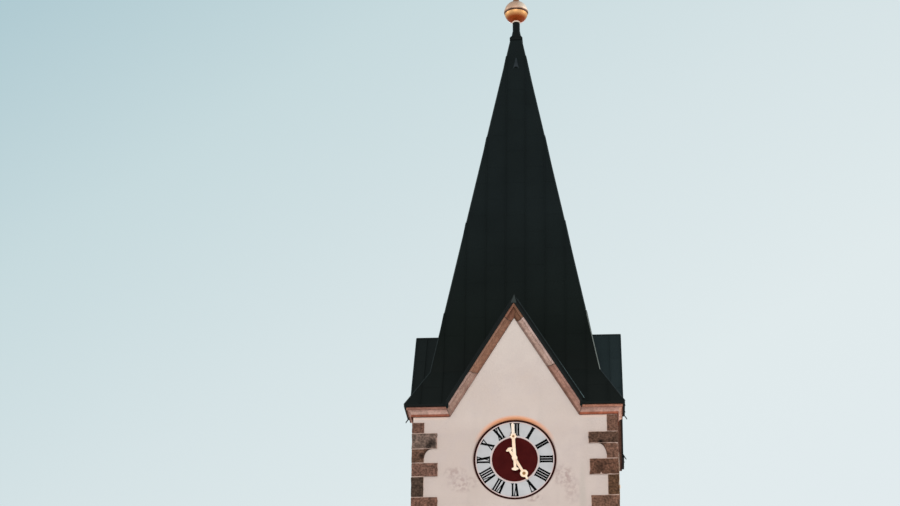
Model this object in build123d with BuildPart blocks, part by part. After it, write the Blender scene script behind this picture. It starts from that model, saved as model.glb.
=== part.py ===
"""Church tower: a square plastered shaft with stone quoins, four gables with a clock in
each, and a steep square spire with a flared foot, a copper ball and a cross.

Millimetres. The origin is on the ground at the middle of the tower, +Z is up, and the
front, which has the door, faces -Y. Each piece of a side is made once, at the front, and
turned about the tower's axis for the other three sides.
"""
import math
import os

from build123d import *

os.makedirs("parts", exist_ok=True)

# Shaft: the width is over the quoins, which stand out from the plaster
tower_width = 5200
quoin_stand = 30
wall_thickness = 700
plinth_height = 900
plinth_projection = 110
plinth_bevel = 70

# Quoins: courses seen beside the dial from the cornice down, then even ones to the plinth
seen_courses = [456, 360, 385, 385, 535]
even_course_height = 430
short_stone_width = 310
long_stone_width = 690
haunch_radius = 250

# Gables and their roofs: the ridges rise from the roof's underside at the eaves
eaves_height = 18250
gable_rise = 2933
gable_pitch = 58.5
gable_roof_thickness = 62
verge_overhang = 173

# Spouts at the feet of the gable roofs, half-round troughs that point outwards and down
spout_radius = 32
spout_sheet = 5
spout_length = 190
spout_fall = 55
spout_rise = 110
spout_clearance = 6

# Stone cornice: level at the corners, raking up each gable
cornice_height = 218
rake_height = 190
cornice_projection = 136

# Spire: its faces would meet at a point, and are cut off under the cap
eaves_overhang = 196
eaves_edge_height = 65
flare_rise = 1130
flare_top_half = 2190
spire_rise = 11770
spire_top_half = 160
spire_shell = 110

# Cap, ball and cross
collar_half = 184
collar_lip_height = 60
collar_slope_height = 70
collar_cone_radius = 150
collar_cone_height = 245
neck_radius = 104
neck_height = 263
ring_radius = 118
ring_height = 41
ball_radius = 341
ball_band_height = 44
ball_band_stand = 12
finial_radius = 115
finial_height = 210
cross_height = 1500
cross_span = 900
cross_bar_width = 70
cross_bar_depth = 40
cross_arm_drop = 480

# Roof vents, a tapered hood on each face of the spire with its mouth at the lower end
vent_drop = 1904
vent_width = 170
vent_length = 394
vent_stand = 42
vent_sheet = 7
vent_top_share = 0.12
vent_hollow_share = 0.8
vent_mouth_height = 66

# Clock
clock_drop = 1343
recess_depth = 90
recess_margin = 3
recess_edge_radius = 87
dial_radius = 1040
dial_thickness = 40
dial_centre_radius = 580
dial_rim_width = 46
dial_relief = 6

# Hands, their hubs and the arbor that carries them
hand_thickness = 8
hour_hand_gap = 100
minute_hand_gap = 150
running_gap = 0.3
arbor_radius = 26
sleeve_radius = 48
hub_radius = 68
clock_hour = 4
clock_minute = 59.5
minute_tip = 924
minute_ring_centre = 570
minute_tail = 340
minute_blade_width = 86
minute_tip_width = 72
minute_lozenge = 92
minute_hole_radius = 30
hour_tip = 640
hour_ring_centre = 460
hour_tail = 318
hour_blade_width = 78
hour_tip_width = 54
hour_ring_radius = 98
hour_hole_radius = 42
tail_neck_width = 66
tail_width = 172
tail_length = 88

# Sound windows with louvres, one on each side below the clock
sound_window_width = 1100
sound_window_height = 2500
sound_window_drop = 1070
louvre_setback = 180
louvre_frame_width = 70
louvre_frame_depth = 130
louvre_pitch = 190
louvre_board_width = 185
louvre_board_thickness = 22
louvre_tilt = 38

# Slit windows that light the stair, two on each side
slit_width = 320
slit_height = 1100
lower_slit_sill = 5200
slit_spacing = 3600
slit_count = 2
glass_thickness = 12
glass_setback = 220

# Doorway and floors
door_width = 1300
door_height = 2600
door_thickness = 70
door_setback = 260
ground_floor_thickness = 150
belfry_parapet = 800
belfry_floor_thickness = 200

# Sizes that follow from those above
half = tower_width / 2
wall_half = half - quoin_stand
inner_half = wall_half - wall_thickness
plinth_half = half + plinth_projection
ridge_height = eaves_height + gable_rise
pitch_tangent = math.tan(math.radians(gable_pitch))
pitch_cosine = math.cos(math.radians(gable_pitch))
roof_underside_peak = ridge_height - gable_roof_thickness / pitch_cosine
rake_inner_peak = roof_underside_peak - rake_height / pitch_cosine
gable_foot = (roof_underside_peak - eaves_height) / pitch_tangent
roof_foot = (ridge_height - eaves_height) / pitch_tangent
cornice_bottom = eaves_height - cornice_height
rake_foot = (rake_inner_peak - cornice_bottom) / pitch_tangent
moulding_depth = quoin_stand + cornice_projection
eaves_half = half + eaves_overhang
flare_top_height = eaves_height + flare_rise
spire_run_per_rise = flare_top_half / spire_rise
apex_height = flare_top_height + spire_rise
spire_top_height = apex_height - spire_top_half / spire_run_per_rise
vent_sill_height = apex_height - vent_drop
clock_height = eaves_height - clock_drop
recess_radius = dial_radius + recess_margin
dial_face = wall_half - recess_depth
dial_back = dial_face - dial_thickness
sound_window_sill = clock_height - recess_radius - sound_window_drop - sound_window_height
belfry_floor_height = sound_window_sill - belfry_parapet
slit_sills = [lower_slit_sill + index * slit_spacing for index in range(slit_count)]

# Planes of the facade's own frame: x to the right, y up, the normal outwards
facade = Plane.XZ.offset(wall_half)
quoin_face = Plane.XZ.offset(half)
hip_right = Plane(origin=(0, 0, 0), z_dir=(-1, -1, 0))
hip_left = Plane(origin=(0, 0, 0), z_dir=(1, -1, 0))
corner_diagonal = Plane(origin=(0, 0, 0), z_dir=(1, 1, 0))

SIDES = {"front": 0, "right": 90, "back": 180, "left": 270}


def save(part, name):
    """Label a finished piece and write it to a file of its own."""
    part.label = name
    export_step(part, f"parts/{name}.step")


def save_each_side(part, name):
    """Write the front piece and its copies turned to the other three sides."""
    for side, angle in SIDES.items():
        save(part.rotate(Axis.Z, angle), f"{side}_{name}")


def clock_plane(distance, angle=0):
    """A plane square to the clock's axis, this far out, with its y axis turned clockwise."""
    turn = math.radians(angle)
    x_dir = (math.cos(turn), 0, -math.sin(turn))
    return Plane(origin=(0, -distance, clock_height), x_dir=x_dir, z_dir=(0, -1, 0))


def arched_shape(width, height, bottom, mode=Mode.ADD):
    """An upright opening with a half-round head, drawn in a sketch of the facade's frame."""
    spring = bottom + height - width / 2
    with Locations((0, (bottom + spring) / 2)):
        Rectangle(width, spring - bottom, mode=mode)
    with Locations((0, spring)):
        Circle(width / 2, mode=mode)


def wall(full_half, has_door):
    """One wall with its gable, its openings and the clock's recess with a rounded edge."""
    with BuildPart() as piece:
        with BuildSketch(facade):
            with BuildLine():
                Polyline(
                    (-full_half, 0),
                    (full_half, 0),
                    (full_half, eaves_height),
                    (gable_foot, eaves_height),
                    (0, roof_underside_peak),
                    (-gable_foot, eaves_height),
                    (-full_half, eaves_height),
                    close=True,
                )
            make_face()
            arched_shape(sound_window_width, sound_window_height, sound_window_sill, Mode.SUBTRACT)
            with Locations(*[(0, sill + slit_height / 2) for sill in slit_sills]):
                Rectangle(slit_width, slit_height, mode=Mode.SUBTRACT)
            if has_door:
                arched_shape(door_width, door_height, ground_floor_thickness, Mode.SUBTRACT)
        extrude(amount=-wall_thickness)
        with BuildSketch(clock_plane(wall_half)):
            Circle(recess_radius)
        extrude(amount=-(recess_depth + dial_thickness), mode=Mode.SUBTRACT)
        recess_rim = piece.edges(Select.LAST).filter_by(GeomType.CIRCLE).sort_by(Axis.Y)[0]
        fillet(recess_rim, radius=recess_edge_radius)
    return piece.part


save(wall(wall_half, True), "front_wall")
save(wall(wall_half, False).rotate(Axis.Z, SIDES["back"]), "back_wall")
side_wall = wall(inner_half, False)
save(side_wall.rotate(Axis.Z, SIDES["right"]), "right_wall")
save(side_wall.rotate(Axis.Z, SIDES["left"]), "left_wall")

# Plinth: a stone base round the foot of the shaft, with a weathered top edge
with BuildPart() as plinth:
    with BuildSketch(Plane.XY):
        Rectangle(2 * plinth_half, 2 * plinth_half)
        Rectangle(2 * wall_half, 2 * wall_half, mode=Mode.SUBTRACT)
    extrude(amount=plinth_height)
    top_edges = plinth.edges().group_by(Axis.Z)[-1]
    chamfer(top_edges.filter_by(lambda edge: edge.length > 2 * half), length=plinth_bevel)
    with BuildSketch(facade):
        arched_shape(door_width, door_height, ground_floor_thickness)
    extrude(amount=plinth_half, mode=Mode.SUBTRACT)
save(plinth.part, "plinth")

# Quoins: the corner stones as a toothed skin, long and short in turn, on both faces.
# Courses are counted down from the cornice, and every second one is long.
even_height = cornice_bottom - plinth_height - sum(seen_courses)
even_count = round(even_height / even_course_height)
course_heights = seen_courses + [even_height / even_count] * even_count
course_tops = [cornice_bottom - sum(course_heights[:index]) for index in range(len(course_heights))]
haunch_top = course_tops[2]
with BuildPart() as quoins:
    with BuildSketch(quoin_face):
        with Locations((half - short_stone_width / 2, (plinth_height + cornice_bottom) / 2)):
            Rectangle(short_stone_width, cornice_bottom - plinth_height)
        for index in range(1, len(course_heights), 2):
            middle = course_tops[index] - course_heights[index] / 2
            with Locations((half - long_stone_width / 2, middle)):
                Rectangle(long_stone_width, course_heights[index])
        haunch_side = half - short_stone_width
        with Locations((haunch_side - haunch_radius / 2, haunch_top - haunch_radius / 2)):
            Rectangle(haunch_radius, haunch_radius)
        with Locations((haunch_side - haunch_radius, haunch_top - haunch_radius)):
            Circle(haunch_radius, mode=Mode.SUBTRACT)
    extrude(amount=-quoin_stand)
    split(bisect_by=hip_right, keep=Keep.TOP)
    mirror(about=corner_diagonal)
save(quoins.part, "front_right_quoins")
save(quoins.part.rotate(Axis.Z, 90), "back_right_quoins")
save(quoins.part.rotate(Axis.Z, 180), "back_left_quoins")
save(quoins.part.rotate(Axis.Z, 270), "front_left_quoins")


def moulding(height):
    """The cornice's section: a fillet, a cavetto and a deeper fillet, x outwards, y up."""
    lower_depth = 0.35 * moulding_depth
    upper_depth = 0.86 * moulding_depth
    lower_top = 0.22 * height
    upper_bottom = 0.7 * height
    with BuildLine() as outline:
        Polyline((lower_depth, lower_top), (lower_depth, 0), (0, 0), (0, height), (moulding_depth, height))
        Polyline((moulding_depth, height), (moulding_depth, upper_bottom), (upper_depth, upper_bottom))
        ThreePointArc(
            (upper_depth, upper_bottom),
            (lower_depth + 0.12 * moulding_depth, lower_top + 0.36 * height),
            (lower_depth, lower_top),
        )
    make_face(outline.edges())


# Cornice of one side: a level run at each corner that turns up the rake of the gable
mitre = Plane(
    origin=(rake_foot, 0, cornice_bottom),
    z_dir=(cornice_height, 0, rake_foot - gable_foot),
)
level_section = Plane(origin=(0, -wall_half, cornice_bottom), x_dir=(0, -1, 0), z_dir=(-1, 0, 0))
rake_section = Plane(
    origin=(0, -wall_half, rake_inner_peak),
    x_dir=(0, -1, 0),
    z_dir=(-pitch_cosine, 0, math.sin(math.radians(gable_pitch))),
)
with BuildPart() as level_run:
    with BuildSketch(level_section):
        moulding(cornice_height)
    extrude(amount=-2 * half)
    split(bisect_by=hip_right, keep=Keep.TOP)
    split(bisect_by=mitre, keep=Keep.TOP)
with BuildPart() as cornice:
    with BuildSketch(rake_section):
        moulding(rake_height)
    extrude(amount=2 * half, both=True)
    split(bisect_by=Plane.YZ, keep=Keep.TOP)
    split(bisect_by=mitre, keep=Keep.BOTTOM)
    add(level_run.part)
    mirror(about=Plane.YZ)
save_each_side(cornice.part, "cornice")

# Spire face: a sheet-covered slope with a flared foot, mitred at the hips and cut
# away where the gable's roof runs into it
spire_outline = [
    (-eaves_half, eaves_height),
    (-eaves_half, eaves_height + eaves_edge_height),
    (-flare_top_half, flare_top_height),
    (-spire_top_half, spire_top_height),
]
spire_inside = [(y + spire_shell, z) for y, z in spire_outline]
with BuildPart() as spire_face:
    with BuildSketch(Plane.YZ):
        with BuildLine():
            Polyline(*spire_outline, *reversed(spire_inside), close=True)
        make_face()
    extrude(amount=eaves_half, both=True)
    split(bisect_by=hip_right, keep=Keep.TOP)
    split(bisect_by=hip_left, keep=Keep.TOP)
    with BuildSketch(Plane.XZ):
        with BuildLine():
            Polyline((-roof_foot, eaves_height), (0, ridge_height), (roof_foot, eaves_height), close=True)
        make_face()
    extrude(amount=eaves_half, mode=Mode.SUBTRACT)
save_each_side(spire_face.part, "spire_face")

# Gable roof: two slopes over the gable wall that run back into the spire, and a spout at
# each foot
with BuildPart() as gable_roof:
    with BuildSketch(Plane.XZ):
        with BuildLine():
            Polyline(
                (-roof_foot, eaves_height),
                (0, ridge_height),
                (roof_foot, eaves_height),
                (gable_foot, eaves_height),
                (0, roof_underside_peak),
                (-gable_foot, eaves_height),
                close=True,
            )
        make_face()
    extrude(amount=half + verge_overhang)
    with BuildSketch(Plane.YZ):
        with BuildLine():
            Polyline(*spire_inside, (0, spire_top_height), (0, eaves_height), close=True)
        make_face()
    extrude(amount=eaves_half, both=True, mode=Mode.SUBTRACT)
    spout_start = half + cornice_projection + spout_clearance
    spout_angle = math.radians(spout_fall)
    spout_direction = (0, -math.cos(spout_angle), -math.sin(spout_angle))
    spout_middle = (gable_foot + roof_foot) / 2 - spout_rise / pitch_tangent
    for side in (-1, 1):
        with BuildSketch(Plane.XZ.offset(spout_start)):
            with Locations((side * spout_middle, eaves_height + spout_rise)):
                Circle(spout_radius)
                Circle(spout_radius - spout_sheet, mode=Mode.SUBTRACT)
                with Locations((0, spout_radius / 2)):
                    Rectangle(2 * spout_radius, spout_radius, mode=Mode.SUBTRACT)
        extrude(amount=spout_length, dir=spout_direction)
save_each_side(gable_roof.part, "gable_roof")

# Cap of the spire: a square collar over the sheets, a cone, a pipe and a ring that
# carries the ball
collar_slope_bottom = spire_top_height + collar_lip_height
collar_top = collar_slope_bottom + collar_slope_height
pipe_bottom = collar_top + collar_cone_height
pipe_top = pipe_bottom + neck_height
cap_top = pipe_top + ring_height
collar_taper = math.degrees(math.atan((collar_half - collar_cone_radius) / collar_slope_height))
with BuildPart() as spire_cap:
    with BuildSketch(Plane.XY.offset(spire_top_height)):
        Rectangle(2 * collar_half, 2 * collar_half)
    extrude(amount=collar_lip_height)
    with BuildSketch(Plane.XY.offset(collar_slope_bottom)):
        Rectangle(2 * collar_half, 2 * collar_half)
    extrude(amount=collar_slope_height, taper=collar_taper)
    with BuildSketch(Plane.XZ):
        with BuildLine():
            Polyline(
                (0, collar_top),
                (collar_cone_radius, collar_top),
                (neck_radius, pipe_bottom),
                (neck_radius, pipe_top),
                (ring_radius, pipe_top + ring_height / 2),
                (neck_radius, cap_top),
                (0, cap_top),
                close=True,
            )
        make_face()
    revolve(axis=Axis.Z)
save(spire_cap.part, "spire_cap")

# Ball in two halves with a band round the middle, flat where the cap and finial meet it
ball_centre = cap_top + math.sqrt(ball_radius**2 - neck_radius**2)
ball_top = ball_centre + math.sqrt(ball_radius**2 - finial_radius**2)
band_half = ball_band_height / 2
band_bottom = ball_centre - band_half
band_top = ball_centre + band_half
band_outer = ball_radius + ball_band_stand
band_radius = math.sqrt(ball_radius**2 - band_half**2)
with BuildPart() as spire_ball:
    with BuildSketch(Plane.XZ):
        with BuildLine():
            Polyline(
                (band_radius, band_bottom),
                (band_outer, band_bottom),
                (band_outer, band_top),
                (band_radius, band_top),
            )
            RadiusArc((band_radius, band_top), (finial_radius, ball_top), -ball_radius)
            Polyline((finial_radius, ball_top), (0, ball_top), (0, cap_top), (neck_radius, cap_top))
            RadiusArc((neck_radius, cap_top), (band_radius, band_bottom), -ball_radius)
        make_face()
    revolve(axis=Axis.Z)
save(spire_ball.part, "spire_ball")

# Cross on a short cone, with a round boss at the end of each arm
cross_foot = ball_top + finial_height
cross_top = ball_top + cross_height
arm_height = cross_top - cross_arm_drop
with BuildPart() as spire_cross:
    with BuildSketch(Plane.XZ):
        with BuildLine():
            Polyline(
                (0, ball_top),
                (finial_radius, ball_top),
                (cross_bar_width / 2, cross_foot),
                (0, cross_foot),
                close=True,
            )
        make_face()
    revolve(axis=Axis.Z)
    with BuildSketch(Plane.XZ):
        with Locations((0, (cross_foot + cross_top) / 2)):
            Rectangle(cross_bar_width, cross_top - cross_foot)
        with Locations((0, arm_height)):
            Rectangle(cross_span, cross_bar_width)
        with Locations((0, cross_top), (-cross_span / 2, arm_height), (cross_span / 2, arm_height)):
            Circle(cross_bar_width)
    extrude(amount=cross_bar_depth / 2, both=True)
save(spire_cross.part, "spire_cross")

# Roof vents: hoods of sheet, each the part of a cone that stands out of the spire's face
vent_upwards = Vector(0, spire_run_per_rise, 1).normalized()
vent_outwards = Vector(0, -1, spire_run_per_rise).normalized()
vent_foot = Vector(0, -(apex_height - vent_sill_height) * spire_run_per_rise, vent_sill_height)
vent_point = vent_foot + vent_upwards * (vent_length / (1 - vent_top_share))
vent_radius = (vent_width**2 / 4 + vent_stand**2) / (2 * vent_stand)
axis_foot = vent_foot - vent_outwards * (vent_radius - vent_stand)
vent_axis = Plane(origin=axis_foot, z_dir=vent_point - axis_foot)
cone_reach = (1 - vent_top_share) * (vent_point - axis_foot).length
hollow_top_share = 1 - (1 - vent_top_share) * vent_hollow_share
on_foot = (Align.CENTER, Align.CENTER, Align.MIN)
mouth = Plane(origin=vent_foot, z_dir=vent_upwards * vent_stand - vent_outwards * vent_mouth_height)
with BuildPart() as vent:
    with Locations(vent_axis):
        Cone(vent_radius, vent_top_share * vent_radius, cone_reach, align=on_foot)
        Cone(
            vent_radius - vent_sheet,
            hollow_top_share * vent_radius - vent_sheet,
            vent_hollow_share * cone_reach,
            align=on_foot,
            mode=Mode.SUBTRACT,
        )
    split(bisect_by=mouth, keep=Keep.TOP)
    with BuildSketch(Plane.YZ):
        with BuildLine():
            Polyline(*spire_outline, (0, spire_top_height), (0, eaves_height), close=True)
        make_face()
    extrude(amount=eaves_half, both=True, mode=Mode.SUBTRACT)
with BuildPart() as spire_vents:
    with PolarLocations(0, len(SIDES)):
        add(vent.part)
save(spire_vents.part, "spire_vents")

# Dial: a round plate with a raised rim and centre, and the fixed arbor that carries
# the hubs of the two hands
hour_back = dial_face + hour_hand_gap
hour_front = hour_back + hand_thickness
minute_back = dial_face + minute_hand_gap
minute_front = minute_back + hand_thickness
dial_section = Plane(origin=(0, 0, clock_height), x_dir=(1, 0, 0), z_dir=(0, 0, -1))
with BuildPart() as dial:
    with BuildSketch(dial_section):
        with BuildLine():
            Polyline(
                (0, dial_back),
                (dial_radius, dial_back),
                (dial_radius, dial_face + dial_relief),
                (dial_radius - dial_rim_width, dial_face + dial_relief),
                (dial_radius - dial_rim_width, dial_face),
                (dial_centre_radius, dial_face),
                (dial_centre_radius, dial_face + dial_relief),
                (sleeve_radius, dial_face + dial_relief),
                (sleeve_radius, hour_back - running_gap),
                (arbor_radius, hour_back - running_gap),
                (arbor_radius, hour_front + running_gap),
                (sleeve_radius, hour_front + running_gap),
                (sleeve_radius, minute_back - running_gap),
                (arbor_radius, minute_back - running_gap),
                (arbor_radius, minute_front + hand_thickness),
                (0, minute_front + hand_thickness),
                close=True,
            )
        make_face()
    revolve(axis=Axis((0, 0, clock_height), (0, -1, 0)))
save_each_side(dial.part, "dial")


def hand_tail(length):
    """The counterweight behind the hub, a neck with a flared head."""
    neck_end = length - tail_length
    with BuildLine() as outline:
        Polyline(
            (-tail_neck_width / 2, 0),
            (-tail_neck_width / 2, -neck_end),
            (-tail_width / 2, -neck_end - 0.25 * tail_length),
            (-tail_width / 2, -neck_end - 0.6 * tail_length),
            (-0.3 * tail_width, -neck_end - 0.8 * tail_length),
            (0, -length),
            (0.3 * tail_width, -neck_end - 0.8 * tail_length),
            (tail_width / 2, -neck_end - 0.6 * tail_length),
            (tail_width / 2, -neck_end - 0.25 * tail_length),
            (tail_neck_width / 2, -neck_end),
            (tail_neck_width / 2, 0),
            close=True,
        )
    make_face(outline.edges())


def hand_blade(root_width, tip_width, length):
    """A tapered blade from the hub to its tip, with a pointed end."""
    with BuildLine() as outline:
        Polyline(
            (-root_width / 2, 0),
            (root_width / 2, 0),
            (tip_width / 2, length - tip_width / 2),
            (0, length),
            (-tip_width / 2, length - tip_width / 2),
            close=True,
        )
    make_face(outline.edges())


# Hands, set to the time and turned clockwise from the upright
minute_angle = 360 * clock_minute / 60
hour_angle = 30 * (clock_hour + clock_minute / 60)
bore_radius = arbor_radius + running_gap
with BuildPart() as minute_hand:
    with BuildSketch(clock_plane(minute_back, minute_angle)):
        hand_blade(minute_blade_width, minute_tip_width, minute_tip)
        hand_tail(minute_tail)
        Circle(hub_radius)
        with Locations((0, minute_ring_centre)):
            RegularPolygon(minute_lozenge, 4, rotation=45)
            Circle(minute_hole_radius, mode=Mode.SUBTRACT)
        Circle(bore_radius, mode=Mode.SUBTRACT)
    extrude(amount=hand_thickness)
save_each_side(minute_hand.part, "minute_hand")

with BuildPart() as hour_hand:
    with BuildSketch(clock_plane(hour_back, hour_angle)):
        hand_blade(hour_blade_width, hour_tip_width, hour_tip)
        hand_tail(hour_tail)
        Circle(hub_radius)
        with Locations((0, hour_ring_centre)):
            Circle(hour_ring_radius)
            Circle(hour_hole_radius, mode=Mode.SUBTRACT)
        Circle(bore_radius, mode=Mode.SUBTRACT)
    extrude(amount=hand_thickness)
save_each_side(hour_hand.part, "hour_hand")

# Louvres: an arched wooden frame with sloping boards that fills a sound window
with BuildPart() as louvres:
    louvre_front = wall_half - louvre_setback
    louvre_middle = louvre_front - louvre_frame_depth / 2
    board_count = int(sound_window_height / louvre_pitch)
    with BuildSketch(Plane.YZ):
        for index in range(board_count):
            height = sound_window_sill + (index + 0.5) * louvre_pitch
            with Locations((-louvre_middle, height)):
                Rectangle(louvre_board_width, louvre_board_thickness, rotation=louvre_tilt)
    extrude(amount=sound_window_width / 2, both=True)
    with BuildSketch(Plane.XZ.offset(louvre_front)):
        arched_shape(sound_window_width, sound_window_height, sound_window_sill)
    extrude(amount=-louvre_frame_depth, mode=Mode.INTERSECT)
    with BuildSketch(Plane.XZ.offset(louvre_front)):
        arched_shape(sound_window_width, sound_window_height, sound_window_sill)
        arched_shape(
            sound_window_width - 2 * louvre_frame_width,
            sound_window_height - 2 * louvre_frame_width,
            sound_window_sill + louvre_frame_width,
            Mode.SUBTRACT,
        )
    extrude(amount=-louvre_frame_depth)
save_each_side(louvres.part, "louvres")

# Panes of the slit windows
with BuildPart() as slit_window_glass:
    with BuildSketch(Plane.XZ.offset(wall_half - glass_setback)):
        with Locations(*[(0, sill + slit_height / 2) for sill in slit_sills]):
            Rectangle(slit_width, slit_height)
    panes = extrude(amount=-glass_thickness)
    for angle in (90, 180, 270):
        add(panes.rotate(Axis.Z, angle))
save(slit_window_glass.part, "slit_window_glass")

# Door leaf, closed in its doorway
with BuildPart() as entrance_door:
    with BuildSketch(Plane.XZ.offset(wall_half - door_setback)):
        arched_shape(door_width, door_height, ground_floor_thickness)
    extrude(amount=-door_thickness)
save(entrance_door.part, "entrance_door")

# Floors between the walls: stone flags on the ground, boards under the belfry
with BuildPart() as ground_floor:
    with BuildSketch(Plane.XY):
        Rectangle(2 * inner_half, 2 * inner_half)
    extrude(amount=ground_floor_thickness)
save(ground_floor.part, "ground_floor")

with BuildPart() as belfry_floor:
    with BuildSketch(Plane.XY.offset(belfry_floor_height)):
        Rectangle(2 * inner_half, 2 * inner_half)
    extrude(amount=-belfry_floor_thickness)
save(belfry_floor.part, "belfry_floor")
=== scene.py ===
"""Looks of the church tower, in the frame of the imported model, in metres."""
import math
import random
from itertools import pairwise

import bpy
from mathutils import Matrix, Vector, noise


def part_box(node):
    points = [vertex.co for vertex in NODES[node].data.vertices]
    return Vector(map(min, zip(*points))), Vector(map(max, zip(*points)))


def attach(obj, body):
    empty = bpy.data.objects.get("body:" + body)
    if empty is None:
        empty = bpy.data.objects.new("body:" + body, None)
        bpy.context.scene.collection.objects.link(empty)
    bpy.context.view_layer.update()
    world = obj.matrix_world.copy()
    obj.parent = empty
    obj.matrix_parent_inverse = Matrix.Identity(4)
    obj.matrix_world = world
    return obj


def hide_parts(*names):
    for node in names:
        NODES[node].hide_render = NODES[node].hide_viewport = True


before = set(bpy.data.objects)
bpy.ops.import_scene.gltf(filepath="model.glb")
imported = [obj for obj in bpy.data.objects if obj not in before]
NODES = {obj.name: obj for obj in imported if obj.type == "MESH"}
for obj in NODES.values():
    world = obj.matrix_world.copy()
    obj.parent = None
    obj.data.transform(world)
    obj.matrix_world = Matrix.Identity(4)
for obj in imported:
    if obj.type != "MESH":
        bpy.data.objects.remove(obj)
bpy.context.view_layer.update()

scene = bpy.context.scene
SIDES = ["front", "right", "back", "left"]

# Sizes taken from the boxes of the CAD nodes
WALL = -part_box("front_wall")[0].y
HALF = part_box("front_right_quoins")[1].x
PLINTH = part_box("plinth")[1].x
PLINTH_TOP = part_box("plinth")[1].z
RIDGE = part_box("front_gable_roof")[1].z
ROOF_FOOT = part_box("front_gable_roof")[1].x
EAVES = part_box("front_spire_face")[0].z
EAVES_HALF = -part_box("front_spire_face")[0].y
SPIRE_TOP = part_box("front_spire_face")[1].z
CORNICE_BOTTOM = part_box("front_cornice")[0].z
CLOCK = (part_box("front_dial")[0].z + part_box("front_dial")[1].z) / 2
DIAL_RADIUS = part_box("front_dial")[1].x
BALL_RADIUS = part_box("spire_ball")[1].x
BALL_MIDDLE = (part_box("spire_ball")[0].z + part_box("spire_ball")[1].z) / 2
DOOR_FACE = -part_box("entrance_door")[0].y
DOOR_LOW, DOOR_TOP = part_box("entrance_door")[0].z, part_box("entrance_door")[1].z

# Sizes that the CAD nodes have inside their boxes
CAP_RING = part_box("spire_cap")[1].z - 0.044
VERGE = HALF + 0.173
GABLE_SLOPE = (RIDGE - EAVES) / ROOF_FOOT
GABLE_COSINE = 1 / math.hypot(1, GABLE_SLOPE)
DIAL_FACE = WALL - 0.09
RECESS_RADIUS = DIAL_RADIUS + 0.003
RECESS_EDGE = 0.087
EAVES_EDGE = 0.065
FLARE_HALF = 2.19
FLARE_TOP = EAVES + 1.13
SPIRE_RISE = 11.77
APEX = FLARE_TOP + SPIRE_RISE
RUN = FLARE_HALF / SPIRE_RISE
RAKE_HEIGHT = 0.19
RAKE_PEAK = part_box("front_wall")[1].z - RAKE_HEIGHT / GABLE_COSINE


def srgb(red, green, blue):
    """A colour given by its screen values from 0 to 255."""
    values = [value / 255 for value in (red, green, blue)]
    return tuple(v / 12.92 if v <= 0.04045 else ((v + 0.055) / 1.055) ** 2.4 for v in values) + (1.0,)


def scaled(tone, *factors):
    """A tone times numbers or other tones."""
    for factor in factors:
        each = factor if isinstance(factor, tuple) else (factor,) * 3
        tone = tuple(channel * value for channel, value in zip(tone, each))
    return tone


def angles(count, turn=2 * math.pi, ends=0):
    """The angles of even steps through a turn; with ends=1 the last one is there too."""
    return [turn * step / count for step in range(count + ends)]


# Nodes of the materials

def add_node(tree, kind, inputs=None, **settings):
    """A shader node; each of its inputs is a value or the socket that feeds it."""
    node = tree.nodes.new("ShaderNode" + kind)
    for name, value in settings.items():
        setattr(node, name, value)
    for name, value in (inputs or {}).items():
        if isinstance(value, bpy.types.NodeSocket):
            tree.links.new(value, node.inputs[name])
        else:
            node.inputs[name].default_value = value
    return node


def mix(tree, factor, first, second, mode="MIX"):
    sockets = {0: factor, 6: first, 7: second}
    return add_node(tree, "Mix", sockets, data_type="RGBA", blend_type=mode).outputs[2]


def math_node(tree, operation, first, second=0.0):
    return add_node(tree, "Math", {0: first, 1: second}, operation=operation).outputs[0]


def laid(tree, tone, colour, factor, *others):
    """The tone with a colour laid over it, as strongly as the product of the factors."""
    for other in others:
        factor = math_node(tree, "MULTIPLY", factor, other)
    return mix(tree, factor, tone, srgb(*colour))


def squares(tree, *values):
    """The sum of the squares of the values."""
    total = 0.0
    for value in values:
        square = math_node(tree, "POWER", math_node(tree, "ABSOLUTE", value), 2.0)
        total = math_node(tree, "ADD", total, square)
    return total


def share(tree, value, start, end):
    """A factor that is 0 where the value is start or beyond it, and 1 from end on."""
    return add_node(tree, "MapRange", {"Value": value, "From Min": start, "From Max": end}).outputs[0]


def place(tree):
    return add_node(tree, "TexCoord").outputs["Object"]


def axes(tree):
    """The sockets for the x, y and z of a point."""
    return add_node(tree, "SeparateXYZ", {0: place(tree)}).outputs


def layers(tree, height, tones, limits):
    """A tone that changes with the height, to each next one between a low and a high limit."""
    tone = srgb(*tones[0])
    for (low, high), following in zip(limits, tones[1:]):
        tone = laid(tree, tone, following, share(tree, height, low, high))
    return tone


def patches(tree, scale, low=0.35, high=0.65, stretch=(1, 1, 1), seed=0.0, detail=4.0):
    """A factor from 0 to 1 that varies over the object in soft patches."""
    where = add_node(tree, "Mapping", {"Vector": place(tree), "Scale": stretch, "Location": (seed,) * 3})
    field = add_node(tree, "TexNoise", {"Vector": where.outputs[0], "Scale": scale, "Detail": detail})
    return share(tree, field.outputs[0], low, high)


def spot(tree, axis, across, up, wide, tall):
    """A factor that is 1 about a place on a wall and falls to 0 at an ellipse round it."""
    where = axes(tree)
    aside = math_node(tree, "SUBTRACT", where[axis], across)
    rise = math_node(tree, "SUBTRACT", where[2], CLOCK + up)
    parts = [math_node(tree, "DIVIDE", offset, radius) for offset, radius in ((aside, wide), (rise, tall))]
    return share(tree, squares(tree, *parts), 1.0, 0.1)


def with_tint(tree, tone):
    """A tone times the tint that the mesh carries at its points."""
    tint = add_node(tree, "Attribute", attribute_name="tint").outputs["Color"]
    return mix(tree, 1.0, tone, tint, "MULTIPLY")


# Kinds of material

def new_material(name):
    material = bpy.data.materials.new(name)
    material.use_nodes = True
    return material, material.node_tree


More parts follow.
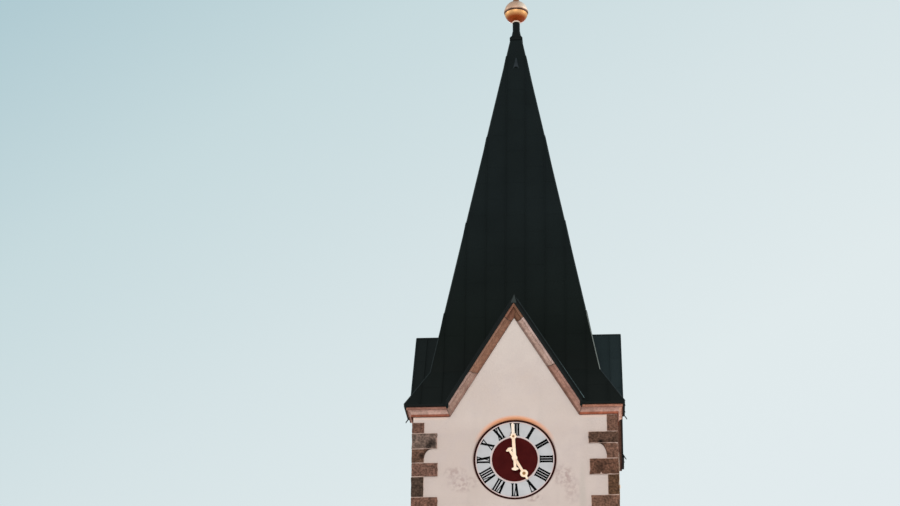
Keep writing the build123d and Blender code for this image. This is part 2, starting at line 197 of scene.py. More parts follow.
def finished(material, tone, roughness, specular, metallic=0.0, relief=None, depth=0.0):
    """The material with its colour, its gloss, and its relief where it has one."""
    tree = material.node_tree
    inputs = tree.nodes["Principled BSDF"].inputs
    inputs["Roughness"].default_value = roughness
    inputs["Metallic"].default_value = metallic
    inputs["Specular IOR Level"].default_value = specular
    tree.links.new(tone, inputs["Base Color"])
    if relief is not None:
        bump = add_node(tree, "Bump", {"Height": relief, "Distance": depth})
        tree.links.new(bump.outputs[0], inputs["Normal"])
    return material


def varied(name, colour, other, roughness, scale, specular, metallic=0.0, grain=0.0, grain_scale=60.0,
           tinted=False, speckle=0.0, **pattern):
    """A material whose colour varies in patches of this pattern, with a fine grain in relief;
    speckle is how much darker and lighter its small spots are."""
    material, tree = new_material(name)
    tone = laid(tree, srgb(*colour), other, patches(tree, scale, **pattern))
    if speckle:
        dark, light = [(value, value, value, 1.0) for value in (1 - speckle, 1 + speckle)]
        spots = mix(tree, patches(tree, 20.0, 0.38, 0.62, seed=8.0, detail=5.0), dark, light)
        tone = mix(tree, 1.0, tone, spots, "MULTIPLY")
    if tinted:
        tone = with_tint(tree, tone)
    relief = patches(tree, grain_scale, 0.2, 0.8, **pattern | {"seed": 3.0}) if grain else None
    return finished(material, tone, roughness, specular, metallic, relief, grain)


# Stains of the plaster: across and up from the clock, half width, half height, strength and seed
STAINS = [(-1.5, -0.36, 0.34, 0.2, 0.55, 1.0), (-1.3, -0.64, 0.44, 0.26, 0.6, 4.0),
          (1.22, -0.46, 0.32, 0.32, 0.7, 7.0), (1.42, -0.82, 0.24, 0.42, 0.42, 12.0),
          (0.46, -1.03, 0.26, 0.12, 0.75, 17.0)]
STREAK = (1.69, -1.9, 0.12, 2.0)

# Where the tone of the plaster starts to change and where it has changed. The paler band under the cornice
# and the warm band round the top of the recess are painted light; the dark ring round the sides of the recess
# is painted shade.
DULL_BELOW = (CLOCK + 1.05, CLOCK + 0.65)
PALE_ABOVE = (CLOCK + 2.2, CLOCK + 3.6)
PAINTED_LIGHT_UNDER_CORNICE = (CORNICE_BOTTOM - 0.09, CORNICE_BOTTOM - 0.04)
BESIDE_RAKES = (1.66, 1.74)
PAINTED_LIGHT_ROUND = (RECESS_RADIUS + RECESS_EDGE + 0.025, RECESS_RADIUS + 0.035)
PAINTED_LIGHT_ABOVE = (0.4, 1.0)
PAINTED_SHADE_RIM = (RECESS_RADIUS + 0.03, RECESS_RADIUS - 0.005)


def plaster_material(name, axis, direction):
    """Lime plaster with its stains below the clock, painted warm light on the upper edge of the recess,
    painted shade round the sides of the recess and painted light under the cornice. The axis lies along the
    wall, and direction tells whether it runs to the right or the left."""
    material, tree = new_material(name)
    tone = laid(tree, srgb(208, 193, 184), (202, 185, 175), patches(tree, 0.55))
    tone = laid(tree, tone, (200, 184, 176), patches(tree, 3.5, 0.45, 0.75, seed=5.0))
    tone = laid(tree, tone, (186, 172, 162), patches(tree, 2.2, 0.55, 0.8, (1, 1, 0.12), 9.0), 0.35)
    for across, up, wide, tall, strength, seed in STAINS:
        area = spot(tree, axis, across * direction, up, wide, tall)
        grain = patches(tree, 11.0, 0.4, 0.6, seed=seed, detail=6.0)
        tone = laid(tree, tone, (166, 142, 136), area, grain, strength)
    across, up, wide, tall = STREAK
    tone = laid(tree, tone, (176, 170, 158), spot(tree, axis, across * direction, up, wide, tall), 0.35)

    where = axes(tree)
    height = where[2]
    tone = mix(tree, share(tree, height, *DULL_BELOW), tone, (0.93, 0.92, 0.92, 1.0), "MULTIPLY")
    tone = laid(tree, tone, (222, 209, 199), share(tree, height, *PALE_ABOVE), 0.6)
    outer = share(tree, math_node(tree, "ABSOLUTE", where[axis]), *BESIDE_RAKES)
    # Painted light: a paler band of plaster just under the cornice, outside the rakes
    tone = laid(tree, tone, (226, 198, 182), share(tree, height, *PAINTED_LIGHT_UNDER_CORNICE), outer, 0.7)

    rise = math_node(tree, "SUBTRACT", height, CLOCK)
    radius = math_node(tree, "SQRT", squares(tree, where[axis], rise))
    # Painted light: a warm orange band round the upper edge of the clock's recess
    above = share(tree, rise, *PAINTED_LIGHT_ABOVE)
    tone = laid(tree, tone, (232, 160, 118), share(tree, radius, *PAINTED_LIGHT_ROUND), above)
    # Painted shade: a dark ring round the sides of the recess, away from the warm band
    aside = math_node(tree, "SUBTRACT", 1.0, above)
    tone = laid(tree, tone, (128, 88, 72), share(tree, radius, *PAINTED_SHADE_RIM), 0.6, aside)
    relief = math_node(tree, "ADD", patches(tree, 1.6, 0.2, 0.8, seed=2.0),
                       patches(tree, 22.0, 0.2, 0.8, seed=4.0))
    return finished(material, tone, 0.95, 0.1, relief=relief, depth=0.006)


def sheet_material(name, tones, heights):
    """Dark roof sheet whose tone changes with the height."""
    material, tree = new_material(name)
    tone = layers(tree, axes(tree)[2], tones, pairwise(heights))
    darker = mix(tree, 1.0, tone, (0.8, 0.8, 0.8, 1.0), "MULTIPLY")
    tone = mix(tree, patches(tree, 0.8), tone, darker)
    relief = patches(tree, 4.0, 0.2, 0.8, seed=3.0)
    return finished(material, with_tint(tree, tone), 0.6, 0.05, relief=relief, depth=0.004)


# Tones of the ball from its foot up, each reached between two latitudes in degrees; the dark fourth tone is
# painted shade under the lip of the band
BALL_TONES = [(122, 42, 6), (156, 64, 10), (220, 160, 102), (52, 24, 12), (196, 156, 130), (150, 116, 96)]
BALL_LATITUDES = [-70, -62, -42, -22, -14, -12, -6, -4, 25, 55]


def ball_material():
    """Worn copper gilt: pale above the band, with a painted highlight on its upper right side and a dark line
    of painted shade under the band, and darker and redder towards the neck."""
    material, tree = new_material("ball_copper")
    where = axes(tree)
    heights = [BALL_MIDDLE + BALL_RADIUS * math.sin(math.radians(latitude)) for latitude in BALL_LATITUDES]
    tone = layers(tree, where[2], BALL_TONES, zip(heights[::2], heights[1::2]))
    # Painted highlight: the upper right side of the ball is laid lighter
    right = share(tree, where[0], 0.1 * BALL_RADIUS, 0.8 * BALL_RADIUS)
    upper = share(tree, where[2], BALL_MIDDLE - 0.05 * BALL_RADIUS, BALL_MIDDLE + 0.05 * BALL_RADIUS)
    return finished(material, laid(tree, tone, (255, 240, 222), right, upper, 0.75), 0.48, 0.3, 0.55)


# Materials: two colours, roughness, scale of the patches and specular level

SHEET_LOOK = {"grain": 0.004, "grain_scale": 4.0, "tinted": True}
BOARDS_LOOK = {"roughness": 0.8, "scale": 14.0, "specular": 0.2, "grain": 0.003, "grain_scale": 30.0,
               "tinted": True, "seed": 1.0, "detail": 6.0}
PLASTER = {side: plaster_material(f"plaster_{side}", number % 2, 1 if number < 2 else -1)
           for number, side in enumerate(SIDES)}
ROOF = varied("roof_sheet", (24, 28, 27), (20, 24, 23), 0.6, 0.8, 0.05, **SHEET_LOOK)
# A lighter copy of the roof sheet for the right gable, painted light on the slope that faces the light
LIT_ROOF = varied("lit_roof_sheet", (36, 45, 46), (31, 40, 41), 0.6, 0.8, 0.05, **SHEET_LOOK)
GABLE_SHEET = dict(zip(SIDES, [ROOF, LIT_ROOF, ROOF, ROOF]))
SPIRE = sheet_material("spire_sheet", [(20, 23, 21), (15, 20, 17), (20, 26, 26)], [18.9, 20.5, 24.5])
CAP = sheet_material("cap_sheet", [(17, 21, 20), (228, 206, 186)], [CAP_RING, CAP_RING + 0.003])
HOOD = varied("hood_sheet", (44, 49, 52), (36, 41, 44), 0.6, 3.0, 0.05)
TRIM = varied("roof_trim", (34, 40, 40), (28, 34, 34), 0.5, 1.5, 0.15, tinted=True)
BALL = ball_material()
COPPER = varied("copper_gilt", (154, 98, 62), (124, 74, 44), 0.45, 5.0, 0.3, metallic=0.8)
STONE = varied("sandstone", (118, 92, 79), (92, 72, 61), 0.95, 5.0, 0.1, grain=0.006,
               grain_scale=26.0, tinted=True, speckle=0.4)
MORTAR = varied("mortar", (190, 162, 148), (166, 138, 124), 0.95, 6.0, 0.1, grain=0.003)
CARVED = varied("carved_stone", (255, 255, 255), (224, 220, 218), 0.9, 3.5, 0.1, grain=0.003,
                grain_scale=30.0, tinted=True, speckle=0.16)
FLAGS = varied("stone_flags", (150, 132, 120), (126, 110, 100), 0.9, 2.0, 0.1, grain=0.003)
RED = varied("dial_red", (69, 19, 18), (61, 15, 15), 0.8, 4.0, 0.03)
MAROON = varied("dial_rim", (50, 20, 16), (38, 16, 14), 0.8, 6.0, 0.03)
GREY = varied("dial_grey", (192, 190, 190), (183, 182, 182), 0.7, 4.0, 0.1)
PALE = varied("dial_pale", (208, 186, 180), (200, 178, 172), 0.7, 4.0, 0.1)
BLACK = varied("dial_black", (8, 7, 8), (12, 11, 12), 0.7, 8.0, 0.03)
GILT = varied("hand_gilt", (250, 224, 198), (240, 206, 174), 0.6, 7.0, 0.2, tinted=True)
OAK = varied("oak_boards", (92, 74, 58), (64, 50, 40), stretch=(9, 9, 0.6), **BOARDS_LOOK)
FLOOR_BOARDS = varied("floor_boards", (112, 90, 68), (86, 68, 52), stretch=(0.5, 9, 9), **BOARDS_LOOK)
IRON = varied("wrought_iron", (44, 44, 46), (60, 50, 44), 0.6, 12.0, 0.3)
GLASS = varied("window_glass", (84, 96, 102), (66, 78, 84), 0.15, 3.0, 0.5)
FLOOR = varied("studio_floor", (226, 228, 228), (222, 224, 224), 0.95, 0.3, 0.1)

# Tints of the CAD nodes: the minute hands are paler beyond a distance from the tower's middle
PALE_BEYOND = 2.7
PALE_TIP = [0.94, 1.04, 1.16, 1.0]
for name, node in NODES.items():
    colours = []
    for vertex in node.data.vertices:
        distance = math.hypot(vertex.co.x, vertex.co.y, vertex.co.z - CLOCK)
        colours += PALE_TIP if "minute_hand" in name and distance > PALE_BEYOND else [1.0] * 4
    node.data.attributes.new("tint", "FLOAT_COLOR", "POINT").data.foreach_set("color", colours)


# Meshes

PLAIN = (1, 1, 1)


def add_object(name, data):
    thing = bpy.data.objects.new(name, data)
    scene.collection.objects.link(thing)
    return thing


def quads(rows, count):
    """The faces between rows of points, with this count in a row, where the last one can lead
    back to the first point."""
    wide = len(rows[0])
    faces = []
    for start in range(0, (len(rows) - 1) * wide, wide):
        for j in range(count):
            k = (j + 1) % wide
            faces.append([start + j, start + k, start + wide + k, start + wide + j])
    return faces


class Shape:
    """Points, faces, material numbers and tints, gathered before they become one mesh."""

    def __init__(self):
        self.points, self.faces, self.kinds, self.tints = [], [], [], []

    def add(self, points, faces, kind=0, tint=PLAIN):
        """The tint is one for all points or a list with one for each."""
        start = len(self.points)
        self.points += map(Vector, points)
        self.faces += [[start + index for index in face] for face in faces]
        self.kinds += [kind] * len(faces)
        tints = tint if isinstance(tint, list) else [tint] * len(points)
        self.tints += [channel for value in tints for channel in (*value, 1.0)]

    def grid(self, rows, kind=0, tint=PLAIN, flip=False):
        """A surface through rows of points; a list of tints has rows as well."""
        tints = [value for row in tint for value in row] if isinstance(tint, list) else tint
        faces = [face[::-1] if flip else face for face in quads(rows, len(rows[0]) - 1)]
        self.add([point for row in rows for point in row], faces, kind, tints)

    def loft(self, sections, kind=0, tint=PLAIN, closed=True):
        """A tube through sections of equal numbers of points, closed at both ends."""
        count = len(sections[0])
        faces = quads(sections, count)
        if closed:
            last = (len(sections) - 1) * count
            faces += [range(count)[::-1], range(last, last + count)]
        self.add([point for section in sections for point in section], faces, kind, tint)

    def box(self, low, high, kind=0):
        (x0, y0, z0), (x1, y1, z1) = low, high
        self.loft([[(x0, y0, z), (x1, y0, z), (x1, y1, z), (x0, y1, z)] for z in (z0, z1)], kind)

    def rib(self, path, across, outward, width, height, kind=0, tint=PLAIN, sink=0.004, rounded=False):
        """A bar along a path, sunk a little into what carries it; across, outward and height
        hold for the whole bar or are lists with a value for each point of the path."""
        values = [value if isinstance(value, list) else [value] * len(path)
                  for value in (across, outward, height)]
        sections = []
        for point, side, out, rise in zip(path, *values):
            base, out = Vector(point), Vector(out).normalized()
            side = Vector(side).normalized() * (width / 2)
            feet = [base - side - out * sink, base + side - out * sink]
            if rounded:
                sections.append([base + side * math.cos(a) + out * (rise * math.sin(a))
                                 for a in angles(6, math.pi, 1)] + feet)
            else:
                sections.append([feet[1], base + side + out * rise, base - side + out * rise, feet[0]])
        self.loft(sections, kind, tint)

    def turned(self, side):
        """The same shape on another side of the tower."""
        turn = Matrix.Rotation(math.radians(90 * SIDES.index(side)), 4, "Z")
        other = Shape()
        other.points = [turn @ point for point in self.points]
        other.faces, other.kinds, other.tints = self.faces, self.kinds, self.tints
        return other

    def make(self, name, materials, slot, body="tower", replaced=()):
        mesh = bpy.data.meshes.new(name)
        mesh.from_pydata(self.points, [], self.faces)
        mesh.update()
        for material in materials:
            mesh.materials.append(material)
        mesh.polygons.foreach_set("material_index", self.kinds)
        attribute = mesh.attributes.new("tint", "FLOAT_COLOR", "POINT")
        attribute.data.foreach_set("color", self.tints)
        mesh.validate()
        obj = add_object(name, mesh)
        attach(obj, body)
        if replaced:
            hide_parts(*replaced)


# Stones

# The width of a worn arris, the width and drop of a stone's edge, how far its sides go into
# the wall, and the size of its facets
ARRIS, EDGE, EDGE_DROP, RETURN, FACET = 0.012, 0.008, 0.007, -0.035, 0.04
TONES = [(0.94, 0.86, 0.84), (0.78, 0.72, 0.7), (1.02, 0.98, 0.96), (0.72, 0.7, 0.68),
         (0.92, 0.84, 0.78), (0.86, 0.72, 0.68), (0.8, 0.76, 0.72)]


def any_tone(chance):
    return TONES[chance.randrange(len(TONES))]


def wavy(u, v, seed, amount):
    """A place on the face of a stone, moved by an amount of 0 or 1 so that its edges wander."""
    along = 1 + amount * 0.035 * noise.noise(Vector((seed * 1.3, v * 9, 0.5)))
    return u * along, v + amount * 0.007 * noise.noise(Vector((u * 8, seed * 1.7, 0.5)))


def steps(low, high, extra=()):
    """Even steps from low to high, with one more just inside each end and the extra ones."""
    count = max(2, round((high - low) / FACET))
    values = [low + (high - low) * i / count for i in range(count + 1)]
    return sorted({*values, low + EDGE, high - EDGE, *extra})


def stone_face(shape, position, left, right, low, high, seed, tone, rough, shadow_dents=(), arris=False):
    """The rough face of one stone with its four returns into the wall, which are painted darker as shade.
    position(u, v, out) gives the place of a point on the unrolled wall. A stone with an arris has it at u =
    0. Each dent is a spot of painted shade with a u, a v, a radius and a darkness."""
    own = Vector((seed * 3.1, seed * 1.7, seed * 2.3))
    us = steps(left, right, (-ARRIS, 0.0, ARRIS) if arris else ())
    vs = steps(low, high)
    contrast = 0.5 if shadow_dents else 0.28
    face, tints = [], []
    for v in vs:
        line, shades = [], []
        for u in us:
            rim = min(u - left, right - u, v - low, high - v)
            at = Vector((u, v, 0)) * 7 + own
            out = rough * noise.fractal(at, 0.8, 2.0, 4) - EDGE_DROP * (1 - min(1.0, rim / EDGE)) ** 2
            if arris and abs(u) < ARRIS / 2:
                out -= ARRIS / 2
            value = 1.0 + contrast * noise.fractal(at * 1.9 + Vector((9, 9, 9)), 0.9, 2.0, 3)
            # Painted shade: each dent darkens the stone about its place
            for dent_u, dent_v, radius, shade_strength in shadow_dents:
                near = max(0.0, 1 - math.hypot(u - dent_u, v - dent_v) / radius)
                value *= 1 - shade_strength * min(1.0, near * 1.6)
            line.append(position(*wavy(u, v, seed, arris), out))
            shades.append(scaled(tone, value))
        face.append(line)
        tints.append(shades)
    back = [[position(*wavy(u, v, seed, arris), RETURN) for u in us] for v in vs]
    # Painted shade: the returns of the stone into the joints are darker
    dark = scaled(tone, 0.7)
    shape.grid(face, 0, tints)
    for outer, inner, flip in ((face, back, False), (list(zip(*face)), list(zip(*back)), True)):
        shape.grid([inner[0], outer[0]], 0, dark, flip)
        shape.grid([outer[-1], inner[-1]], 0, dark, flip)


def corner_position(base):
    """Unrolled round the front right corner: u runs to the left on the front from 0, and
    to the back on the right side below 0."""
    def position(u, v, out):
        far = base + out
        near = min(far, base - abs(u) + out * max(0, 1 - abs(u) / 0.03))
        return (near if u > 0 else far, -near if u < 0 else -far, v)
    return position


def front_position(base):
    return lambda u, v, out: (-u, -(base + out), v)


# Quoins

# A long and a short stone, how much stones vary, the height of a course, half the joint
# between two, and the place of the mortar
LONG, SHORT, UNEVEN, COURSE, BED, MORTAR_OUT = 0.69, 0.31, 0.035, 0.43, 0.01, -0.009


def course_tops(measured, seed):
    """The measured courses, then even ones down to the plinth."""
    chance = random.Random(seed)
    count = round((measured[-1] - PLINTH_TOP) / COURSE)
    height = (measured[-1] - PLINTH_TOP) / count
    lower = [measured[-1] - i * height + chance.uniform(-UNEVEN, UNEVEN) for i in range(1, count)]
    return measured + lower + [PLINTH_TOP]


def haunch(shape, position, start, top, wide, tall, on_side, tone, seed):
    """The stone beside a short quoin, hollowed from below in a quarter of an ellipse, with painted shade that
    darkens it towards the edge of the hollow.
    """
    rows, columns = 6, 11
    face, shades, back = [], [], []
    for row in range(rows + 1):
        line, dark = [], []
        for column in range(columns + 1):
            u = start - 0.006 + wide * 0.97 * column / columns
            arc = top - tall + tall * math.sqrt(max(0.0, 1 - ((start + wide - u) / wide) ** 2))
            v = arc + (top - arc) * row / rows
            out = 0.006 * noise.fractal(Vector((u * 9, v * 9, seed)), 0.8, 2.0, 3) - 0.004
            line.append(position(-u if on_side else u, v, out))
            # Painted shade: darker towards the edge of the hollow
            dark.append(scaled(tone, min(1, 0.22 + (v - arc) / 0.07)))
            if row == 0:
                back.append(position(-u if on_side else u, v, RETURN))
        face.append(line)
        shades.append(dark)
    shape.grid(face, 0, shades, on_side)
    shape.grid([back, face[0]], 0, scaled(tone, 0.5), on_side)


def quoin_corner(number, tops, fronts=(), sides=(), haunches=(), tones=(), shadow_dents=()):
    """The stones of one corner, made at the front right and turned later. The lists hold the
    courses that the photograph shows, and those below them vary at random."""
    shape = Shape()
    position = corner_position(HALF)
    chance = random.Random(100 + number)

    def reach(measured, course):
        if course < len(measured):
            return measured[course]
        return (LONG if course % 2 else SHORT) + chance.uniform(-UNEVEN, UNEVEN)

    for i, (top, low) in enumerate(pairwise(tops)):
        front, side = reach(fronts, i), reach(sides, i)
        tone = tones[i] if i < len(tones) else scaled(any_tone(chance), chance.uniform(0.9, 1.1))
        spots = shadow_dents[i] if i < len(shadow_dents) else ()
        stone_face(shape, position, -side, front, low + BED, top - BED, number * 60 + i, tone,
                   0.01 if spots else 0.007, spots, True)
        bed = [(-side - 0.004, RETURN), (-side - 0.0039, MORTAR_OUT), (0.0, MORTAR_OUT),
               (front + 0.0039, MORTAR_OUT), (front + 0.004, RETURN)]
        shape.grid([[position(u, v, out) for u, out in bed] for v in (low, top)], 1)
    for course, wide, tall, on_side in haunches:
        start, tone = (sides if on_side else fronts)[course], scaled(tones[course], 0.78)
        haunch(shape, position, start, tops[course] - 0.004, wide, tall, on_side, tone, number)
    return shape


EVEN_TOPS = [CORNICE_BOTTOM, 17.576, 17.216, 16.831, 16.446, 15.911]
LEFT_TONES = [(0.86, 0.72, 0.7), (1.0, 1.12, 1.22), (0.78, 0.68, 0.62), (1.0, 0.86, 0.86),
              (0.38, 0.4, 0.39), (0.98, 0.82, 0.78)]
RIGHT_TONES = [(1.02, 0.86, 0.8), (0.6, 0.54, 0.5), (0.98, 0.84, 0.78), (0.8, 0.64, 0.56),
               (0.62, 0.53, 0.4), (1.02, 0.88, 0.8)]

# Each corner in the order of the sides: its number, its measured courses, how far they reach on the front and
# the side, its haunches (course, width, height, on the side), tones, and dents that are spots of painted
# shade
QUOINS = {
    "front_right_quoins": (
        0, [CORNICE_BOTTOM - 0.003, 17.579, 17.273, 16.87, 16.456, 15.922],
        [0.27, 0.74, 0.29, 0.72, 0.275, 0.7], [0.31, 0.68, 0.31, 0.66, 0.31, 0.69],
        [(2, 0.2, 0.36, False), (2, 0.2, 0.3, True)], RIGHT_TONES,
        [(), [(0.45, 17.3, 0.09, 0.85)], [(0.3, 17.0, 0.09, 0.6)], [(0.45, 16.66, 0.2, 0.4)]]),
    "back_right_quoins": (3, EVEN_TOPS),
    "back_left_quoins": (2, EVEN_TOPS),
    "front_left_quoins": (
        1, [17.885, 17.6, 17.189, 16.819, 16.46, 15.928],
        [0.31, 0.66, 0.31, 0.7, 0.31, 0.68], [0.31, 0.64, 0.31, 0.66, 0.305, 0.66],
        [(2, 0.2, 0.27, True), (2, 0.2, 0.3, False)], LEFT_TONES,
        [(), [(-0.5, 17.36, 0.12, 0.8), (-0.42, 17.25, 0.12, 0.7)], [(-0.28, 17.0, 0.12, 0.8)]]),
}
for side, (corner, (number, tops, *courses)) in zip(SIDES, QUOINS.items()):
    stones = quoin_corner(number, course_tops(tops, number + 1), *courses)
    stones.turned(side).make(corner.replace("quoins", "corner_stones"), [STONE, MORTAR], "sandstone",
                             replaced=[corner])

# Plinth: rough blocks on the CAD plinth, whose own faces are the joints
PLINTH_COURSES = [0.0, 0.29, 0.57, 0.825]
LONG_BLOCK, SHORT_BLOCK, BLOCK_OUT, BLOCK_ROUGH = 0.72, 0.44, 0.016, 0.006
PLINTH_JOINT, DOORWAY_HALF = 0.012, 0.66
for number, side in enumerate(SIDES):
    blocks = Shape()
    chance = random.Random(20 + number)
    around, ahead = corner_position(PLINTH + BLOCK_OUT), front_position(PLINTH + BLOCK_OUT)
    for row, (bottom, top) in enumerate(pairwise(PLINTH_COURSES)):
        low, high = bottom + PLINTH_JOINT / 2, top - PLINTH_JOINT / 2
        front, back = (SHORT_BLOCK, LONG_BLOCK) if row % 2 else (LONG_BLOCK, SHORT_BLOCK)
        seed = 300 + number * 9 + row
        stone_face(blocks, around, -back, front, low, high, seed, any_tone(chance), BLOCK_ROUGH, arris=True)
        at, end = -PLINTH + front + PLINTH_JOINT, PLINTH - (back + PLINTH_JOINT)
        while at < end - 0.05:
            wide = chance.uniform(0.48, 0.82)
            if end - at - wide < 0.35:
                wide = end - at
            stop = at + wide - PLINTH_JOINT
            pieces = [(at, stop)]
            if side == "front":
                pieces = [(at, min(stop, -DOORWAY_HALF)), (max(at, DOORWAY_HALF), stop)]
            for a, b in pieces:
                if b - a > 0.06:
                    seed = 400 + chance.randrange(900)
                    stone_face(blocks, ahead, a, b, low, high, seed, any_tone(chance), BLOCK_ROUGH)
            at += wide
    blocks.turned(side).make(f"{side}_plinth_stones", [STONE], "sandstone")

# Cornice: moulded stones with open joints over a core of mortar

# In shares of the depth and height
PROFILE = [(0, 0), (0.35, 0), (0.35, 0.26), (0.37, 0.42), (0.46, 0.56), (0.62, 0.66), (0.86, 0.7),
           (1, 0.7), (1, 1), (0, 1)]
DEPTH = HALF - WALL + 0.136
LEVEL_HEIGHT = EAVES - CORNICE_BOTTOM
CORE_SHRINK = 0.008


def cornice_sections(shrink, sign):
    """The profile at the outer corner, at the foot of the rake and at the peak."""
    corner, foot, peak = [], [], []
    inset = shrink / LEVEL_HEIGHT
    for depth, height in PROFILE:
        out = WALL - 0.01 if depth == 0 else WALL + depth * DEPTH - shrink
        rise = min(max(height, inset), 1 - inset)
        level = CORNICE_BOTTOM + rise * LEVEL_HEIGHT
        raked = RAKE_PEAK + rise * RAKE_HEIGHT / GABLE_COSINE
        corner.append(Vector((sign * out, -out, level)))
        foot.append(Vector((sign * (raked - level) / GABLE_SLOPE, -out, level)))
        peak.append(Vector((0, -out, raked)))
    return corner, foot, peak


def between(first, last, t, lean):
    """The section at a share t of the run; lean sets its outer points back along it."""
    return [a.lerp(b, t - lean * rise) for a, b, (depth, rise) in zip(first, last, PROFILE)]


# Colours of the profile's faces from the wall's lower edge outward; the cavetto's faces, which face down, are
# laid lighter as painted light against their shade
LEVEL_TONES = [(124, 72, 54), (138, 82, 64), (186, 147, 134), (190, 150, 137), (194, 153, 140),
               (212, 166, 152), (178, 128, 112), (160, 114, 98), (96, 64, 52)]
RAKE_TONES = [(128, 92, 78), (136, 96, 82), (178, 128, 108), (184, 132, 112), (190, 136, 116),
              (200, 144, 122), (178, 126, 106), (190, 138, 120), (130, 88, 70)]
FILLETS = (0, 1, 6, 7)
UNDERSIDES = (0, 4, 5, 6)
EDGE_FACES = (0, 1)

# How each run differs from its tones, at the left and right end; the rakes stone by stone
LEVEL_VALUES = {-1: (1.07, 1.14, 1.14), 1: (1.03, 1.02, 1.0)}
FILLET_VALUES = {-1: PLAIN, 1: (1.3, 1.2, 1.1)}
RAKE_VALUES = {
    -1: [(0.76, 1.0, 1.12), (0.62, 0.66, 0.61), (0.46, 0.43, 0.38)],
    1: [(0.76, 0.85, 0.92), (1.03, 1.46, 1.72), (0.4, 0.4, 0.34)],
}
# Painted light on the underside and lower fillet of each rake, strongest on the left
RAKE_EDGE_LIGHT = {-1: (1.7, 1.6, 1.55), 1: (1.1, 1.05, 1.0)}
RAKE_CUTS = {-1: [0.0, 0.43, 0.957, 1.0], 1: [0.0, 0.49, 0.953, 1.0]}
JOINT_TONE = (0.1, 0.07, 0.055)

# Undersides that show beside the front corners, by side, end and run: painted shade on most, and a painted
# highlight at the front end of the right side's level run
CORNER_SHADE_AND_HIGHLIGHT = {
    ("left", 1, "level"): ((0, 1), (0.4, 0.37, 0.34)),
    ("right", -1, "level"): (UNDERSIDES, (1.6, 1.45, 1.3)),
    ("right", 1, "level"): (UNDERSIDES, (0.25, 0.22, 0.2)),
    ("right", 1, "rake"): (UNDERSIDES, (0.3, 0.27, 0.24)),
}


def face_tint(side, sign, run, stone, face, tone, chance):
    """The tint of one face of a cornice stone, with the painted light on the rakes' edge faces and the
    painted shade and highlight beside the front corners.
    """
    value = FILLET_VALUES[sign] if face in FILLETS else LEVEL_VALUES[sign]
    if run == "rake":
        value = RAKE_VALUES[sign][stone]
    tint = scaled(srgb(*tone), value, chance.uniform(0.96, 1.04))
    # Painted light on the edge faces of the rakes
    if run == "rake" and face in EDGE_FACES:
        tint = scaled(tint, RAKE_EDGE_LIGHT[sign])
    # Painted shade or highlight on the faces beside the front corners
    faces, corner_light_value = CORNER_SHADE_AND_HIGHLIGHT.get((side, sign, run), ((), ()))
    return scaled(tint, corner_light_value) if face in faces else tint


def strips(shape, first, last, tints):
    """The faces of a moulding between two sections."""
    for i, tint in enumerate(tints):
        shape.add([first[i], first[i + 1], last[i + 1], last[i]], [range(4)], 0, tint)


for number, side in enumerate(SIDES):
    cornice = Shape()
    chance = random.Random(40 + number)
    for sign in (-1, 1):
        corner, foot, peak = cornice_sections(0.0, sign)
        for run, first, last, cuts, tones, gap in (
            ("level", corner, foot, [0.0, 1.0], LEVEL_TONES, 0.004),
            ("rake", foot, peak, RAKE_CUTS[sign], RAKE_TONES, 0.009),
        ):
            length = (last[0] - first[0]).length
            step = gap / length
            for stone, (a, b) in enumerate(pairwise(cuts)):
                begin = a + (step if run == "rake" else 0)
                end = b - (step if b < 1 or run == "level" else 0)
                leans = [RAKE_HEIGHT * GABLE_SLOPE / length if 0 < cut < 1 else 0 for cut in (a, b)]
                tints = [face_tint(side, sign, run, stone, face, tone, chance)
                         for face, tone in enumerate(tones)]
                ends = [between(first, last, t, lean) for t, lean in zip((begin, end), leans)]
                strips(cornice, *ends, tints)
                for section in ends:
                    cornice.add(section, [range(len(section))], 0, scaled(tints[2], 0.6))
        core = cornice_sections(CORE_SHRINK, sign)
        for first, last in pairwise(core):
            strips(cornice, first, last, [JOINT_TONE] * (len(PROFILE) - 1))
    cornice.turned(side).make(f"{side}_cornice_stones", [CARVED], "sandstone", replaced=[f"{side}_cornice"])


# Roof seams, welts, hips and verges

# The width and height of seams and welts, the distance between seams and between welts, and
# how far every second row of welts is set higher
SPIRE_SEAM, GABLE_SEAM, WELT = (0.016, 0.022), (0.018, 0.028), (0.014, 0.003)
SHEET, WELT_STEP, WELT_OFFSET = 0.53, 1.07, 0.53
SHEET_FOOT = EAVES + EAVES_EDGE
FLARE_RISE = FLARE_TOP - SHEET_FOOT
MAIN_OUT = Vector((0, -1, RUN)).normalized()
FLARE_OUT = Vector((0, -FLARE_RISE, EAVES_HALF - FLARE_HALF)).normalized()
KNEE_OUT = (MAIN_OUT + FLARE_OUT).normalized()
GABLE_OUT = Vector((GABLE_SLOPE, 0, 1)).normalized()


def face_depth(z):
    """How far the front face of the spire stands from the axis at a height."""
    if z >= FLARE_TOP:
        return (APEX - z) * RUN
    return EAVES_HALF + (FLARE_HALF - EAVES_HALF) * ((z - SHEET_FOOT) / FLARE_RISE)


def hip_height(x):
    """The height at which the front face is as wide as this x."""
    if x <= FLARE_HALF:
        return APEX - x / RUN
    return SHEET_FOOT + (EAVES_HALF - x) / (EAVES_HALF - FLARE_HALF) * FLARE_RISE


def out_at(z):
    return MAIN_OUT if z > FLARE_TOP + 0.001 else FLARE_OUT if z < FLARE_TOP - 0.001 else KNEE_OUT


